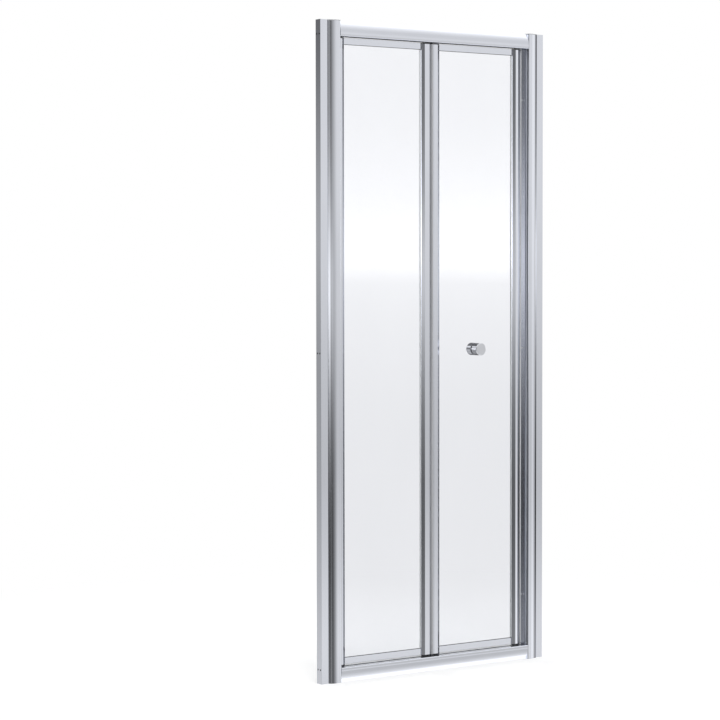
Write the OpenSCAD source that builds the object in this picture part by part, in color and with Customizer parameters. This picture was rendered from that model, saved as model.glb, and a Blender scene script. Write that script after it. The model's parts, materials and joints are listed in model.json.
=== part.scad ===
// Bifold shower door: two framed glass leaves that fold inward, in a frame fixed between two walls.
// X runs along the width, -Y faces the room, +Y faces the shower and Z is up.
// The origin is the centre of the sill's underside.

/* [Overall] */
// Width from wall face to wall face
width = 800; // [760:1:900]
// Height of the wall channels, with the jamb caps level with them
height = 1850; // [1700:1:2000]

/* [Wall channels] */
// Reach of a channel from the wall to its free edges
channel_reach = 24; // [22:0.5:30]
// Size of a channel across the door's thickness
channel_d = 23; // [22.5:0.5:25]
// Wall of a channel
channel_t = 1.6; // [1.2:0.1:1.8]
// Diameter of a wall fixing hole
wall_hole_d = 5; // [4:0.5:6]
// Distance between the two holes of a pair
wall_hole_pitch = 12; // [9:0.5:13]
// Distance of the end pairs from the channel's ends
wall_hole_end = 40; // [38:1:60]

/* [Frame profile] */
// Visible width of a jamb's face
jamb_face = 38; // [34:0.5:44]
// Height of the head rail and of the sill
rail_h = 42; // [40:0.5:50]
// Wall of the frame profiles
frame_t = 1.5; // [1.2:0.1:1.8]
// How far the crest of the bowed face stands in front of the wall channel's centre
crest_y = 21.5; // [19:0.5:24]
// Distance of the crest from the inner edge of the face
crest_in = 9; // [6:0.5:12]
// How far the outer edge of the bowed face stands in front of the channel's centre
edge_y = 12.5; // [12:0.5:15]
// Radius of the inner front edge of the frame
lip_r = 2; // [1:0.25:3]
// Clearance of a jamb's legs inside the wall channel
leg_fit = 0.4; // [0.2:0.1:0.6]
// Space between the ends of a jamb's legs and the bottom of the channel
leg_gap = 2; // [1:0.5:4]
// Thickness of the caps on top of the jambs
jamb_cap_t = 2; // [1:0.5:4]
// Length of the plugs under the jamb caps
jamb_plug_l = 12; // [6:1:20]
// Wall round the screw ports of the head rail and the sill
port_wall = 2; // [1.5:0.1:2.2]

/* [Tracks] */
// Distance of the track and of all three pins' line behind the channel's centre
track_y = 3; // [2.5:0.25:3]
// Width of the track's chamber
track_w = 14; // [12:0.5:14]
// Height of the track's chamber
track_h = 12; // [10:0.5:14]
// Width of the slot that the pins pass through
slot_w = 9; // [8.5:0.25:10]
// Thickness of the lips beside the slot
track_lip = 2; // [1.5:0.25:3]
// Clearance of the blocks in the chamber
block_fit = 0.3; // [0.2:0.05:0.5]
// Length of a pivot block
pivot_block_l = 20; // [16:1:21]
// Distance of a pivot block's screw from the end of the block
block_screw_in = 3; // [2.75:0.25:4]
// Length of a guide block
guide_block_l = 30; // [24:1:40]

/* [Leaves] */
// Gap between the left jamb and the pivot stile
pivot_gap = 3.4; // [3.2:0.1:5]
// Space between the closing stile and the right jamb, for the two magnets
strike_space = 16.5; // [14.5:0.1:20]
// Gap between the head rail and the leaves
top_gap = 2; // [1.5:0.25:5]
// Gap between the sill and the stiles' end caps
bottom_gap = 2.5; // [2:0.25:6]
// How far the front of the stiles stands in front of the channel's centre
leaf_front = 5; // [4.5:0.25:5.5]
// Thickness of the stiles
stile_t = 16.5; // [16:0.25:17]
// Width of the pivot stile
stile_w = 22; // [19.5:0.25:24]
// How much wider the closing stile is than the pivot stile
closing_out = 6.4; // [3:0.1:8]
// Width of the closing stile's outer bevel
closing_bevel_w = 9.75; // [5:0.25:11]
// Distance from the fold axis to the glass side of both hinge stiles
hinge_stile_w = 32; // [29:0.5:36]
// Width of the bevel beside the glass
bevel_w = 8.75; // [6:0.25:9.5]
// Depth of the bevel beside the glass
bevel_d = 4.5; // [3:0.25:5]
// Radius of the side stiles' outer edges
stile_r = 5; // [4.75:0.25:6]
// Wall of the stiles
stile_wall = 1.5; // [1.2:0.1:1.6]
// Height of the leaves' rails
leaf_rail_h = 18; // [16:0.5:26]
// Wall of the leaves' rails
leaf_rail_t = 1.2; // [1:0.1:1.3]
// Thickness of the stiles' end caps
end_cap_t = 2.5; // [2:0.25:4]
// Length of the plugs that hold the end caps in the stiles
plug_l = 30; // [24:1:50]
// Clearance of the plugs
plug_fit = 0.2; // [0.1:0.05:0.4]

/* [Glass] */
// Thickness of the glass
glass_t = 5; // [4:0.5:5]
// Distance of the glass's mid-plane behind the channel's centre
glass_y = 6.7; // [6.5:0.1:6.7]
// Thickness of the gasket on each face of the glass
gasket_t = 1; // [0.75:0.05:1]
// How far the glass reaches into the stiles and rails
glass_bite = 5.5; // [4:0.25:6]
// Depth of the glass groove
groove_d = 7; // [6.25:0.25:7.5]
// Visible edge of the gasket
gasket_show = 1; // [0.75:0.25:3]

/* [Fold hinge] */
// Radius of the round bead on the lead leaf's hinge stile
bead_r = 5; // [4.75:0.05:5.25]
// Radial clearance between the bead and its socket
bead_fit = 0.4; // [0.3:0.05:0.5]
// Distance from the fold axis to the body of the lead leaf's hinge stile
bead_reach = 8; // [7.75:0.25:10]
// Radius of that body's front edge beside the bead
bead_edge_r = 2; // [0.5:0.25:2.5]
// Thickness of the neck between the bead and the stile
neck_t = 2.2; // [1.8:0.1:2.5]
// Gap between the ends of the bead and the end plates
bead_end_gap = 0.3; // [0.2:0.05:1]

/* [Pins] */
// Radius of the pivot, fold and guide pins
pin_r = 2.5; // [2.25:0.05:2.6]
// Radial running clearance of the pins
pin_fit = 0.05; // [0.02:0.01:0.1]
// Length of a pin inside its stile
pin_grip = 20; // [14:1:22]
// How far short of its bush's end a guide pin stops
guide_pin_short = 2; // [0.5:0.5:4]
// Wall of the plain bushes in the bead and the closing stile
bush_wall = 0.95; // [0.8:0.05:1]
// Radial fit of the bushes in the bead and the closing stile
bush_fit = 0.05; // [0.02:0.01:0.08]
// Radius of the thrust washer under the pivot stile
washer_r = 6; // [5:0.25:7]
// Thickness of the thrust washer
washer_t = 1.4; // [1:0.1:1.6]

/* [Seals and strike] */
// Thickness of the seal on the left jamb
pivot_seal_t = 0.8; // [0.5:0.1:1]
// Reach of the fixed strike from the right jamb
strike_reach = 9; // [8:0.25:10]
// Thickness of the strike and of the rib behind it
strike_t = 2.5; // [2:0.25:3]
// Distance of the strike's face behind the channel's centre
strike_y = 4; // [3.5:0.25:5]
// Width of the two magnet strips across the door's thickness
magnet_w = 5; // [4:0.25:6]
// How far the moving magnet strip stands out of the closing stile
magnet_out = 2.7; // [2:0.1:4]
// Gap between the two magnets when the door is closed
magnet_gap = 1.5; // [1.2:0.1:2.5]
// Height of the wiper below the leaves' bottom rails
wiper_h = 4.2; // [3:0.1:4.2]
// Distance of the wiper behind the front face of the bottom rails
wiper_inset = 0.4; // [0.2:0.1:1]

/* [Knobs] */
// Diameter of the knobs
knob_d = 36; // [28:0.5:45]
// Distance of the knobs from the middle of the glass towards the closing side
knob_shift = 3; // [0:0.5:6]
// Length of the outer knob
knob_out_l = 23; // [16:0.5:24]
// Length of the inner knob
knob_in_l = 20; // [16:0.5:30]
// Chamfer on the face of the knobs
knob_chamfer = 1.2; // [0.5:0.1:2]
// Diameter of the hole in the glass
knob_hole_d = 12; // [10:0.5:16]
// Thickness of the washers between the knobs and the glass
knob_washer_t = 1; // [0.5:0.25:2]
// Diameter of the bolt that joins the knobs
knob_bolt_d = 6; // [5:0.5:8]
// How far the bolt reaches into each knob
knob_bolt_grip = 12; // [8:0.5:14]

/* [Fasteners] */
// Shank radius of the frame's corner screws
corner_screw_r = 1.5; // [1.3:0.05:1.6]
// Length of a corner screw inside its rail
corner_screw_l = 24; // [14:1:40]
// Shank radius of the screws that set a jamb in its channel
adjust_screw_r = 1.9; // [1.6:0.05:2.2]
// Distance of the end adjusting screws from the channel's ends
adjust_end = 150; // [100:5:300]
// Height of the middle adjusting screws above mid-height
adjust_mid = 80; // [20:5:200]
// Wall of the covers over the adjusting screws
cover_t = 0.8; // [0.6:0.1:1.2]
// Shank radius of the leaves' corner screws
leaf_screw_r = 1.2; // [1:0.05:1.3]
// Clearance of a screw in its hole
screw_fit = 0.1; // [0.05:0.01:0.2]

/* [Hidden] */

silver = [0.82, 0.83, 0.86];
steel = [0.72, 0.73, 0.75];
dark = [0.16, 0.16, 0.17];
grey = [0.55, 0.56, 0.58];
pale = [0.84, 0.86, 0.86];
clear = [0.86, 0.93, 0.92, 0.35];
nylon = [0.88, 0.88, 0.86];

eps = 0.01;
arc_steps = 16;
corner_steps = 8;
$fn = 48;

// places along X; a leaf's own distances, called s, run outward from the fold axis
wall_x = width / 2;
channel_x = wall_x - channel_reach;
jamb_x = channel_x - jamb_face;
leaf_left = -jamb_x + pivot_gap;
closing_x = jamb_x - strike_space;
leaf_right = closing_x - closing_out;
hinge_x = (leaf_left + leaf_right) / 2;
leaf_w = (leaf_right - leaf_left) / 2;
side_lip_s = leaf_w - stile_w;
side_cavity_s = side_lip_s + groove_d + leaf_rail_t;
pin_s = (side_cavity_s + leaf_w - stile_wall) / 2;
pivot_x = hinge_x - pin_s;
guide_x = hinge_x + pin_s;
strike_x = jamb_x - strike_reach;
strike_mid_x = strike_x + strike_reach / 2;
adjust_x = -(wall_x + channel_x) / 2;
leg_u = channel_t + leg_gap - channel_reach;
block_screw_x = pivot_x + pivot_block_l / 2 - block_screw_in;

// places along Y
half_d = channel_d / 2;
leg_y = half_d - channel_t - leg_fit;
front_y = -leaf_front;
back_y = front_y + stile_t;
bevel_y = front_y + bevel_d;
groove_half = glass_t / 2 + gasket_t;
chamber_front = track_y - track_w / 2;
glass_front = glass_y - glass_t / 2;
glass_back = glass_y + glass_t / 2;

// places along Z
frame_top = height - jamb_cap_t;
head_z = frame_top - rail_h;
leaf_top = head_z - top_gap;
leaf_bottom = rail_h + bottom_gap;
stile_top = leaf_top - end_cap_t;
stile_bottom = leaf_bottom + end_cap_t;
mid_z = height / 2;
adjust_z = [adjust_end, mid_z + adjust_mid, frame_top - adjust_end];
strike_screw_z = [rail_h + adjust_end, mid_z, head_z - adjust_end];
washer_z = leaf_bottom - washer_t - block_fit;

// a leaf's rails and screws; heights are taken from the rail's outer edge
web_h = leaf_rail_h / 2;
screw_h = 2 * web_h / 3;
screw_z = [stile_bottom + screw_h, leaf_top - screw_h];
lip_s = hinge_stile_w;
screw_s = [lip_s - groove_d / 2, side_lip_s + groove_d / 2];
glass_low = stile_bottom + web_h + groove_d - glass_bite;
glass_high = leaf_top - web_h - groove_d + glass_bite;
knob_s = (lip_s + side_lip_s) / 2 + knob_shift;
knob_x = hinge_x + knob_s;

// ---- shared outlines ----

function arc(c, r, a0, a1, n = arc_steps) =
    [for (i = [0:n]) c + r * [cos(a0 + (a1 - a0) * i / n), sin(a0 + (a1 - a0) * i / n)]];
function last(list) = list[len(list) - 1];

// The bowed face of the frame: u runs from the outer edge to the inner edge of the face,
// v is the depth. The bow is one arc through the outer edge that crests near the inner edge.
function bow_r(w) = (pow(w - crest_in, 2) + pow(crest_y - edge_y, 2)) / (2 * (crest_y - edge_y));
function bow_centre(w) = [w - crest_in, bow_r(w) - crest_y];
function bow_angle(w, inset, u) = asin((u - w + crest_in) / (bow_r(w) - inset));
function bow(w, inset) =
    arc(bow_centre(w), bow_r(w) - inset, -90 + bow_angle(w, inset, inset),
        -90 + bow_angle(w, inset, w - lip_r));
function lip_centre(w) = [w - lip_r, last(bow(w, 0))[1] + lip_r];

// The lip's arc starts one step in, because the bow ends where it would start
module face_outline(w, inset) {
    step = 90 / corner_steps;
    lip = lip_r > inset ? arc(lip_centre(w), lip_r - inset, step - 90, 0, corner_steps - 1) : [];
    polygon(concat([[inset, half_d - inset]], bow(w, inset), lip, [[w - inset, half_d - inset]]));
}

module box2(u0, u1, v0, v1) {
    translate([u0, v0]) square([u1 - u0, v1 - v0]);
}

// A post along Z at one wall, from z0 to z1: side -1 is the left one
module post(side, z0, z1) {
    mirror_x(side) translate([-channel_x, 0, z0]) linear_extrude(z1 - z0) children();
}

// Mirrors what is drawn on the left side to the right one
module mirror_x(side) {
    if (side > 0) mirror([1, 0, 0]) children();
    else children();
}

// A rail between the jambs: u runs up from the lower edge, or down from the upper edge
module across(top) {
    if (top) translate([-jamb_x, 0, frame_top]) mirror([0, 0, 1]) across_up() children();
    else translate([-jamb_x, 0, 0]) across_up() children();
}

module across_up() {
    rotate([90, 0, 90]) linear_extrude(2 * jamb_x) mirror([1, 0]) rotate(90) children();
}

// A leaf's own frame: s runs outward from the fold axis, side -1 is the pivot leaf
module leaf(side) {
    translate([hinge_x, 0, 0]) {
        if (side < 0) mirror([1, 0, 0]) children();
        else children();
    }
}

module cyl_y(x, z, r, y0, y1) {
    translate([x, y0, z]) rotate([-90, 0, 0]) cylinder(r = r, h = y1 - y0);
}

module cyl_x(x0, x1, y, z, r) {
    translate([x0, y, z]) rotate([0, 90, 0]) cylinder(r = r, h = x1 - x0);
}

module cyl_z(x, y, r, z0, z1) {
    translate([x, y, z0]) cylinder(r = r, h = z1 - z0);
}

module box(x0, x1, y0, y1, z0, z1) {
    translate([x0, y0, z0]) cube([x1 - x0, y1 - y0, z1 - z0]);
}

// ---- wall channels ----

module wall_channel(side) {
    color(silver) mirror_x(side) difference() {
        box(-wall_x, -channel_x, -half_d, half_d, 0, height);
        box(-wall_x + channel_t, -channel_x + eps, -half_d + channel_t, half_d - channel_t,
            -eps, height + eps);
        for (z = [wall_hole_end, mid_z, height - wall_hole_end])
            for (y = [-1, 1] * wall_hole_pitch / 2)
                cyl_x(-wall_x - 1, -wall_x + channel_t + 1, y, z, wall_hole_d / 2);
        for (z = adjust_z)
            cyl_y(adjust_x, z, adjust_screw_r + screw_fit, half_d - channel_t - 1, half_d + 1);
    }
}

module wall_channel_left() { wall_channel(-1); }
module wall_channel_right() { wall_channel(1); }

// ---- jambs ----

// The jamb is open towards the wall, with two legs that slide in the wall channel
module jamb_section() {
    difference() {
        union() {
            face_outline(jamb_face, 0);
            box2(leg_u, eps, -leg_y, leg_y);
        }
        face_outline(jamb_face, frame_t);
        box2(leg_u - 1, 2 * frame_t, -leg_y + frame_t, leg_y - frame_t);
    }
}

// The rib behind the strike stands on the right jamb, between the head rail and the sill
module strike_rib() {
    post(1, rail_h, head_z) box2(jamb_face - eps, jamb_face + strike_reach, strike_y + strike_t,
                                 strike_y + 2 * strike_t);
}

module jamb(side) {
    color(silver) difference() {
        union() {
            post(side, 0, frame_top) jamb_section();
            if (side > 0) strike_rib();
        }
        mirror_x(side) {
            for (z = adjust_z)
                cyl_y(adjust_x, z, adjust_screw_r + screw_fit, 0, half_d);
            for (p = corner_places)
                cyl_x(-jamb_x - 2 * frame_t, -jamb_x + 1, p[0], p[1], corner_screw_r + screw_fit);
        }
        if (side > 0) for (z = strike_screw_z)
            cyl_y(strike_mid_x, z, leaf_screw_r + screw_fit, 0, half_d + 1);
    }
}

module jamb_left() { jamb(-1); }
module jamb_right() { jamb(1); }

// The plugs fill the jambs in front of the heads of the rear corner screws
module jamb_top_caps() {
    color(grey) for (side = [-1, 1]) {
        post(side, frame_top, height) face_outline(jamb_face, 0);
        post(side, frame_top - jamb_plug_l, frame_top + eps)
            box2(2 * frame_t + plug_fit, jamb_face - frame_t - plug_fit,
                 -edge_y + 2 * frame_t, back_port[1] - 2 * corner_screw_r - plug_fit);
    }
}

// ---- head rail and sill ----

// Each rail has two screw ports, given as distance from its outer edge and depth
port_r = corner_screw_r + screw_fit + port_wall;
back_port = [frame_t + 2 * corner_screw_r + port_wall, half_d - frame_t - port_r];
front_port = [rail_h - crest_in, (chamber_front - crest_y) / 2];
ports = [back_port, front_port];
corner_places =
    concat([for (p = ports) [p[1], p[0]]], [for (p = ports) [p[1], frame_top - p[0]]]);
chamber_u = rail_h - track_lip - track_h;

module rail_section() {
    difference() {
        union() {
            difference() {
                face_outline(rail_h, 0);
                face_outline(rail_h, frame_t);
            }
            intersection() {
                face_outline(rail_h, 0);
                union() {
                    box2(chamber_u - frame_t, rail_h, chamber_front - frame_t, half_d);
                    box2(0, back_port[0] + port_r, back_port[1] - port_r, half_d);
                    box2(front_port[0] - port_r, front_port[0] + port_r,
                         front_port[1] - port_r, chamber_front);
                }
            }
        }
        box2(chamber_u, rail_h - track_lip, chamber_front, chamber_front + track_w);
        box2(chamber_u, rail_h + eps, track_y - slot_w / 2, track_y + slot_w / 2);
        for (p = ports) translate(p) circle(r = corner_screw_r + screw_fit);
    }
}

module frame_rail(top) {
    color(silver) difference() {
        across(top) rail_section();
        cyl_y(block_screw_x, chamber_z(top), leaf_screw_r + screw_fit, track_y, half_d + 1);
    }
}

module head_rail() { frame_rail(true); }
module sill_rail() { frame_rail(false); }

// Height of the middle of the chamber
function chamber_z(top) =
    top ? head_z + track_lip + track_h / 2 : rail_h - track_lip - track_h / 2;

module corner_screws() {
    head_x = -jamb_x - frame_t;
    color(steel) for (side = [-1, 1]) mirror_x(side) for (p = corner_places) {
        cyl_x(head_x - eps, -jamb_x + corner_screw_l, p[0], p[1], corner_screw_r);
        cyl_x(head_x - corner_screw_r, head_x, p[0], p[1], 2 * corner_screw_r);
    }
}

module adjusting_screws() {
    color(steel) for (side = [-1, 1]) mirror_x(side) for (z = adjust_z) {
        cyl_y(adjust_x, z, adjust_screw_r, leg_y - 3 * frame_t, half_d + eps);
        cyl_y(adjust_x, z, 2 * adjust_screw_r, half_d, half_d + adjust_screw_r);
    }
}

module screw_covers() {
    inside_r = 2 * adjust_screw_r + plug_fit;
    inside_y = half_d + adjust_screw_r + plug_fit;
    color(grey) for (side = [-1, 1]) mirror_x(side) for (z = adjust_z) difference() {
        cyl_y(adjust_x, z, inside_r + cover_t, half_d, inside_y + cover_t);
        cyl_y(adjust_x, z, inside_r, half_d - eps, inside_y);
    }
}

// ---- pivot blocks ----

// Both blocks lie on the lower wall of their chamber. The bottom one has a collar that
// carries the thrust washer through the slot.
module pivot_block(top) {
    z = chamber_z(top);
    low = z - track_h / 2;
    high = z + track_h / 2 - block_fit;
    color(nylon) difference() {
        union() {
            box(pivot_x - pivot_block_l / 2, pivot_x + pivot_block_l / 2,
                chamber_front + block_fit, chamber_front + track_w - block_fit, low, high);
            if (!top) cyl_z(pivot_x, track_y, slot_w / 2 - block_fit, low, washer_z);
        }
        cyl_z(pivot_x, track_y, pin_r + pin_fit, low - 1, max(high, washer_z) + 1);
        cyl_y(block_screw_x, z, leaf_screw_r + screw_fit, track_y, half_d);
    }
}

module pivot_block_top() { pivot_block(true); }
module pivot_block_bottom() { pivot_block(false); }

module pivot_block_screws() {
    color(steel) for (top = [false, true]) {
        cyl_y(block_screw_x, chamber_z(top), leaf_screw_r, track_y + 1, half_d + eps);
        cyl_y(block_screw_x, chamber_z(top), 2 * leaf_screw_r, half_d, half_d + leaf_screw_r);
    }
}

module thrust_washer() {
    color(steel) difference() {
        cyl_z(pivot_x, track_y, washer_r, washer_z, washer_z + washer_t);
        cyl_z(pivot_x, track_y, pin_r + pin_fit, washer_z - 1, leaf_bottom);
    }
}

// ---- strike and seals ----

module strike_profile() {
    color(silver) difference() {
        box(strike_x, jamb_x, strike_y, strike_y + strike_t, rail_h, head_z);
        for (z = strike_screw_z) cyl_y(strike_mid_x, z, leaf_screw_r + screw_fit, 0, half_d);
    }
}

module strike_screws() {
    color(steel) for (z = strike_screw_z) {
        cyl_y(strike_mid_x, z, leaf_screw_r, strike_y - eps, strike_y + 2 * strike_t);
        cyl_y(strike_mid_x, z, 2 * leaf_screw_r, strike_y - leaf_screw_r, strike_y);
    }
}

module magnet_strip(x0, x1, z0, z1) {
    color(grey) box(x0, x1, strike_y - magnet_w / 2, strike_y + magnet_w / 2, z0, z1);
}

module strike_magnet() {
    magnet_strip(closing_x + magnet_out + magnet_gap, strike_x, rail_h, head_z);
}

module closing_magnet_strip() {
    magnet_strip(closing_x, closing_x + magnet_out, stile_bottom, stile_top);
}

module pivot_side_seal() {
    color(grey) box(-jamb_x, -jamb_x + pivot_seal_t, track_y - magnet_w / 2, track_y + magnet_w / 2,
                    rail_h, head_z);
}

// ---- stiles, drawn in a leaf's own frame ----

// The closing stile, on side 1, is wider and has an outer bevel where the pivot stile is round
module side_stile_outline(side, inset) {
    r = stile_r - inset;
    s1 = side_end(side) - stile_r;
    polygon(concat(
        [[side_lip_s, bevel_y], [side_lip_s + bevel_w, front_y + inset]],
        side > 0 ? closing_edge(inset)
                 : arc([s1, front_y + stile_r], r, -90, 0, corner_steps),
        arc([s1, back_y - stile_r], r, 0, 90, corner_steps),
        [[side_lip_s, back_y - inset]]));
}

function side_end(side) = side > 0 ? leaf_w + closing_out : leaf_w;
closing_slope = atan(bevel_d / closing_bevel_w);
function closing_edge(inset) = [
    [side_end(1) - closing_bevel_w - inset * tan(closing_slope / 2), front_y + inset],
    [side_end(1) - inset, bevel_y + inset * tan(45 - closing_slope / 2)]];

module side_cavity(side, inset) {
    intersection() {
        side_stile_outline(side, stile_wall + inset);
        box2(side_cavity_s + inset, side_end(side), front_y, back_y);
    }
}

module side_stile_section(side) {
    difference() {
        side_stile_outline(side, 0);
        side_cavity(side, 0);
        glass_groove(side_lip_s, side_lip_s + groove_d);
    }
}

module glass_groove(s0, s1) {
    box2(s0 - eps, s1, glass_y - groove_half, glass_y + groove_half);
}

module side_stile(side) {
    color(silver) difference() {
        leaf(side) translate([0, 0, stile_bottom])
            linear_extrude(stile_top - stile_bottom) side_stile_section(side);
        leaf(side) leaf_screw_holes(side_lip_s + groove_d / 2);
    }
}

module pivot_stile() { side_stile(-1); }
module closing_stile() { side_stile(1); }

hinge_cavity_s = lip_s - groove_d - leaf_rail_t;
socket_r = bead_r + bead_fit;
socket_end = 135;
socket_tip = [0, front_y] + socket_r * [cos(socket_end), sin(socket_end)];
socket_back_s = socket_tip[0] - 2 * stile_wall;

// The pivot leaf's stile wraps the bead from the front face round to the back
module socket_stile_outline() {
    polygon(concat(
        [[lip_s, back_y], [lip_s, bevel_y], [lip_s - bevel_w, front_y]],
        arc([0, front_y], socket_r, 0, socket_end),
        [[socket_back_s, socket_tip[1]], [socket_back_s, back_y]]));
}

module socket_stile_section() {
    clear_y = front_y + socket_r + stile_wall;
    difference() {
        socket_stile_outline();
        box2(socket_r + stile_wall, hinge_cavity_s, front_y + stile_wall, back_y - stile_wall);
        box2(socket_back_s + stile_wall, socket_r + 2 * stile_wall, clear_y, back_y - stile_wall);
        glass_groove(lip_s - groove_d, lip_s + 2 * eps);
    }
}

module pivot_leaf_hinge_stile() {
    color(silver) difference() {
        leaf(-1) translate([0, 0, stile_bottom])
            linear_extrude(stile_top - stile_bottom) socket_stile_section();
        leaf(-1) leaf_screw_holes(lip_s - groove_d / 2);
    }
}

module bead_stile_section() {
    difference() {
        bead_stile_outline();
        box2(bead_reach + stile_wall, hinge_cavity_s, front_y + stile_wall, back_y - stile_wall);
        glass_groove(lip_s - groove_d, lip_s + 2 * eps);
    }
}

// The bead is a tube on a neck just behind the front face
module bead_section() {
    difference() {
        union() {
            translate([0, front_y]) circle(r = bead_r);
            box2(bead_r / 2, bead_reach + bead_edge_r / 2, front_y + bead_fit,
                 front_y + bead_fit + neck_t);
        }
        translate([0, front_y]) circle(r = bush_r + bush_fit);
    }
}

module bead_stile_outline() {
    polygon(concat(
        arc([bead_reach, front_y] + bead_edge_r * [1, 1], bead_edge_r, 180, 270, corner_steps),
        [[lip_s - bevel_w, front_y], [lip_s, bevel_y], [lip_s, back_y], [bead_reach, back_y]]));
}

bush_r = pin_r + pin_fit + bush_wall;
bead_bottom = stile_bottom + bead_end_gap;
bead_top = stile_top - bead_end_gap;

// The lead leaf's stile carries the bead, which is a little shorter than the stile
module lead_leaf_hinge_stile() {
    color(silver) difference() {
        leaf(1) {
            translate([0, 0, stile_bottom]) linear_extrude(stile_top - stile_bottom)
                bead_stile_section();
            translate([0, 0, bead_bottom]) linear_extrude(bead_top - bead_bottom)
                bead_section();
        }
        leaf(1) leaf_screw_holes(lip_s - groove_d / 2);
    }
}

// ---- leaf rails, glass and gasket ----

module leaf_screw_holes(s) {
    for (z = screw_z) {
        cyl_y(s, z, leaf_screw_r + screw_fit, glass_y, back_y + 1);
        screw_head(s, z, screw_fit);
    }
}

// A countersunk head, flush with the back of the stile; its seat is larger all round by fit
module screw_head(s, z, fit) {
    translate([s, back_y - leaf_screw_r, z]) rotate([-90, 0, 0])
        cylinder(r1 = leaf_screw_r + fit, r2 = 2 * leaf_screw_r + fit, h = leaf_screw_r + fit);
}

module leaf_screws(side) {
    color(steel) leaf(side) for (s = screw_s) for (z = screw_z) {
        cyl_y(s, z, leaf_screw_r, glass_y - groove_half + 1, back_y - leaf_screw_r + eps);
        screw_head(s, z, 0);
    }
}

module pivot_leaf_screws() { leaf_screws(-1); }
module lead_leaf_screws() { leaf_screws(1); }

// Draws its children upward from the lower edge of a leaf, or downward from its upper edge
module rail_place(top) {
    if (top) translate([0, 0, leaf_top]) mirror([0, 0, 1]) children();
    else translate([0, 0, stile_bottom]) children();
}

// A leaf's rail: the glass groove is open above the web, and a tongue below it enters the
// grooves of both stiles. The top rail hides the stiles' end caps, so its tongue starts later.
module leaf_rail(side, top) {
    tongue_l = groove_d - plug_fit;
    tongue_half = groove_half - plug_fit / 2;
    tongue_low = plug_fit + (top ? end_cap_t : 0);
    color(silver) leaf(side) rail_place(top) difference() {
        union() {
            box(lip_s, side_lip_s, glass_y - groove_half - leaf_rail_t,
                glass_y + groove_half + leaf_rail_t, 0, leaf_rail_h);
            box(lip_s - tongue_l, side_lip_s + tongue_l, glass_y - tongue_half,
                glass_y + tongue_half, tongue_low, web_h);
        }
        box(lip_s - groove_d, side_lip_s + groove_d, glass_y - groove_half,
            glass_y + groove_half, web_h, leaf_rail_h + 1);
        for (s = screw_s) cyl_y(s, screw_h, leaf_screw_r + screw_fit, front_y, back_y);
    }
}

module pivot_leaf_bottom_rail() { leaf_rail(-1, false); }
module lead_leaf_bottom_rail() { leaf_rail(1, false); }
module pivot_leaf_top_rail() { leaf_rail(-1, true); }
module lead_leaf_top_rail() { leaf_rail(1, true); }

module leaf_glass(side) {
    color(clear) leaf(side) box(lip_s - glass_bite, side_lip_s + glass_bite,
                                glass_front, glass_back, glass_low, glass_high);
}

module pivot_leaf_glass() { leaf_glass(-1); }
module lead_leaf_glass() {
    difference() {
        leaf_glass(1);
        color(clear) cyl_y(knob_x, mid_z, knob_hole_d / 2, front_y, back_y);
    }
}

// A flat ring of gasket on each face of the glass, showing beside the stiles and rails
module leaf_gasket(side) {
    color(pale) leaf(side) for (y = [glass_front - gasket_t, glass_back]) difference() {
        box(lip_s - glass_bite, side_lip_s + glass_bite, y, y + gasket_t, glass_low, glass_high);
        box(lip_s + gasket_show, side_lip_s - gasket_show, y - 1, y + gasket_t + 1,
            stile_bottom + leaf_rail_h + gasket_show, leaf_top - leaf_rail_h - gasket_show);
    }
}

module pivot_leaf_gasket() { leaf_gasket(-1); }
module lead_leaf_gasket() { leaf_gasket(1); }

// The wiper below a leaf: a foot under the bottom rail and a thinner blade below its front edge
module leaf_wiper(side) {
    foot_h = wiper_h / 3;
    front = -groove_half - leaf_rail_t + wiper_inset;
    color(pale) leaf(side) translate([lip_s, glass_y, stile_bottom]) rotate([90, 0, 90])
        linear_extrude(side_lip_s - lip_s) {
            box2(front, glass_t / 2, -foot_h, 0);
            box2(front, front + gasket_t, -wiper_h, eps - foot_h);
        }
}

module pivot_leaf_wiper() { leaf_wiper(-1); }
module lead_leaf_wiper() { leaf_wiper(1); }

// ---- end caps, plates, pins and bushes ----

// Draws its children at the top of the stiles and mirrored at the bottom
module both_ends() {
    translate([0, 0, stile_top]) children();
    translate([0, 0, stile_bottom]) mirror([0, 0, 1]) children();
}

module side_end_caps(side, hole_r) {
    color(dark) leaf(side) both_ends() difference() {
        union() {
            linear_extrude(end_cap_t) side_stile_outline(side, 0);
            translate([0, 0, -plug_l]) linear_extrude(plug_l + eps) side_cavity(side, plug_fit);
        }
        cyl_z(pin_s, track_y, hole_r, -plug_l - 1, end_cap_t + 1);
    }
}

module pivot_stile_end_caps() { side_end_caps(-1, pin_r + pin_fit); }
module closing_stile_end_caps() { side_end_caps(1, bush_r + bush_fit); }

// The plug of a hinge stile, from s0 to the glass groove
module hinge_plug(s0) {
    box(s0 + stile_wall + plug_fit, hinge_cavity_s - plug_fit, front_y + stile_wall + plug_fit,
        back_y - stile_wall - plug_fit, -plug_l, eps);
}

module lead_hinge_stile_end_caps() {
    color(dark) leaf(1) both_ends() {
        linear_extrude(end_cap_t) bead_stile_outline();
        hinge_plug(bead_reach);
    }
}

// The plates reach over the bead and hold the fold pins
module hinge_end_plates() {
    color(dark) leaf(-1) both_ends() {
        difference() {
            linear_extrude(end_cap_t) union() {
                socket_stile_outline();
                translate([0, front_y]) circle(r = bead_r);
                box2(0, socket_r, front_y, front_y + socket_r);
            }
            cyl_z(0, front_y, pin_r + pin_fit, -1, end_cap_t + 1);
        }
        hinge_plug(socket_r);
    }
}

module hinge_pins() {
    color(steel) leaf(-1) both_ends() cyl_z(0, front_y, pin_r, -pin_grip, end_cap_t);
}

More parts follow.
